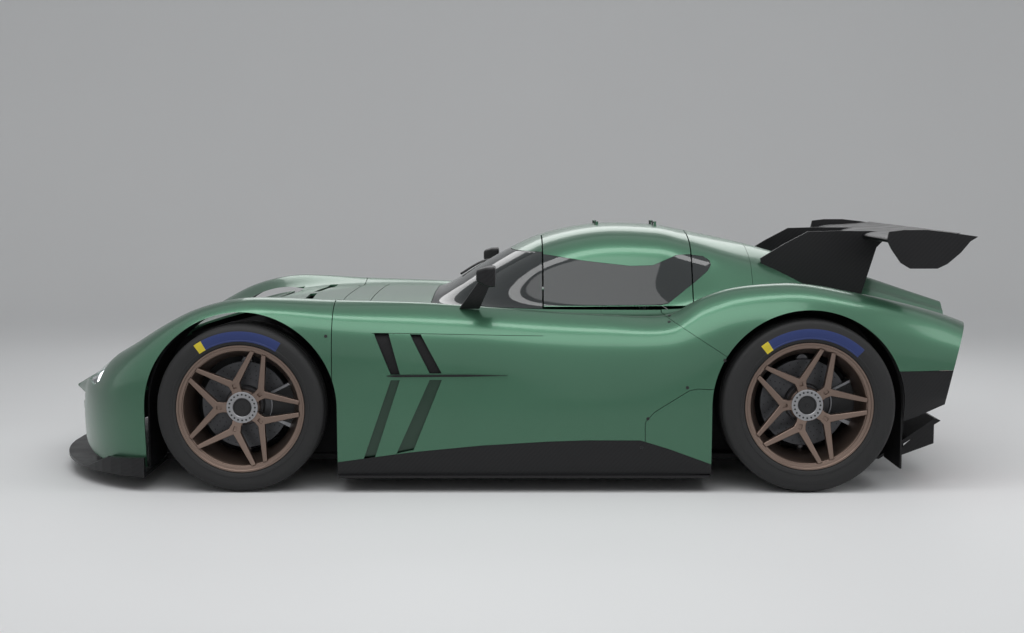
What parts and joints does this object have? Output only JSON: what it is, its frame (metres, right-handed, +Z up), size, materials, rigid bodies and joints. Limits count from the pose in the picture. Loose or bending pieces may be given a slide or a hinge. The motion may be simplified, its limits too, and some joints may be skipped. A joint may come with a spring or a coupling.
{
  "type": "closed two-seat track hypercar",
  "caption": "Low closed racing hypercar with steered front wheels, roof-hinged doors, hollow cabin and a fin-carried rear wing.",
  "frame": {"origin": "on the ground under the middle of the car's length and width", "axes": "+X forward to the nose, +Y to the car's left, +Z up"},
  "size_m": [4.352, 1.952, 1.184],
  "materials": {
    "paint": "satin metallic green",
    "carbon": "black carbon laminate",
    "tinted_glass": "dark tint",
    "lamp_clear": "clear lens",
    "lamp_red": "red lens",
    "bronze_wheel": "satin bronze",
    "tyre_rubber": "matt black slick",
    "brake_disc": "machined",
    "suspension_alloy": "satin",
    "engine_alloy": "cast",
    "cage_steel": "satin black",
    "seat_fabric": "woven",
    "cabin_trim": "matt"
  },
  "bodies": {
    "chassis": {"tub": "carbon", "nose_clip": "paint", "cowl": "paint", "windscreen": "tinted_glass", "roof": "paint", "side_panels": "paint", "rear_clip": "paint", "quarter_glass": "tinted_glass", "headlights": "lamp_clear", "taillights": "lamp_red", "mirrors": "carbon", "splitter": "carbon", "front_grille": "carbon", "sill_blades": "carbon", "side_vents": "carbon", "wheel_liners": "carbon", "wing": "carbon", "diffuser": "carbon", "rear_valances": "carbon", "rear_panel": "carbon", "seats": "seat_fabric", "dashboard": "cabin_trim", "roll_cage": "cage_steel", "engine_block": "engine_alloy", "front_suspension": "suspension_alloy", "rear_suspension": "suspension_alloy"},
    "wheel_front_left": {"rim_front_left": "bronze_wheel", "tyre_front_left": "tyre_rubber", "disc_front_left": "brake_disc"},
    "wheel_front_right": {"rim_front_right": "bronze_wheel", "tyre_front_right": "tyre_rubber", "disc_front_right": "brake_disc"},
    "wheel_rear_left": {"rim_rear_left": "bronze_wheel", "tyre_rear_left": "tyre_rubber", "disc_rear_left": "brake_disc"},
    "wheel_rear_right": {"rim_rear_right": "bronze_wheel", "tyre_rear_right": "tyre_rubber", "disc_rear_right": "brake_disc"},
    "steered_left": {"knuckle_left": "suspension_alloy"},
    "steered_right": {"knuckle_right": "suspension_alloy"},
    "left_door": {"door_left": "paint", "door_glass_left": "tinted_glass"},
    "right_door": {"door_right": "paint", "door_glass_right": "tinted_glass"},
    "hand_wheel": {"steering_wheel": "cabin_trim"}
  },
  "joints": [
    {"name": "steer_left", "type": "hinge", "parent": "chassis", "child": "steered_left", "pos_m": [1.182, 0.747, 0.376], "axis": [0, 0, 1], "range_deg": [-20, 20]},
    {"name": "steer_right", "type": "hinge", "parent": "chassis", "child": "steered_right", "pos_m": [1.182, -0.747, 0.376], "axis": [0, 0, 1], "range_deg": [-20, 20]},
    {"name": "turn_hand_wheel", "type": "hinge", "parent": "chassis", "child": "hand_wheel", "pos_m": [0.055, 0.215, 0.7], "axis": [-0.9397, 0, 0.342], "range_deg": [-130, 130]},
    {"name": "spin_front_left", "type": "hinge", "parent": "steered_left", "child": "wheel_front_left", "pos_m": [1.182, 0.84, 0.376], "axis": [0, 1, 0], "continuous": true},
    {"name": "spin_front_right", "type": "hinge", "parent": "steered_right", "child": "wheel_front_right", "pos_m": [1.182, -0.84, 0.376], "axis": [0, 1, 0], "continuous": true},
    {"name": "spin_rear_left", "type": "hinge", "parent": "chassis", "child": "wheel_rear_left", "pos_m": [-1.338, 0.84, 0.388], "axis": [0, 1, 0], "continuous": true},
    {"name": "spin_rear_right", "type": "hinge", "parent": "chassis", "child": "wheel_rear_right", "pos_m": [-1.338, -0.84, 0.388], "axis": [0, 1, 0], "continuous": true},
    {"name": "open_door_left", "type": "hinge", "parent": "chassis", "child": "left_door", "pos_m": [-0.52, 0.102, 1.176], "axis": [1, 0, 0], "range_deg": [0, 70]},
    {"name": "open_door_right", "type": "hinge", "parent": "chassis", "child": "right_door", "pos_m": [-0.52, -0.102, 1.176], "axis": [-1, 0, 0], "range_deg": [0, 70]}
  ],
  "couplings": [
    {"joint": "steer_right", "follows": "steer_left", "ratio": 1},
    {"joint": "turn_hand_wheel", "follows": "steer_left", "ratio": 6.5}
  ]
}
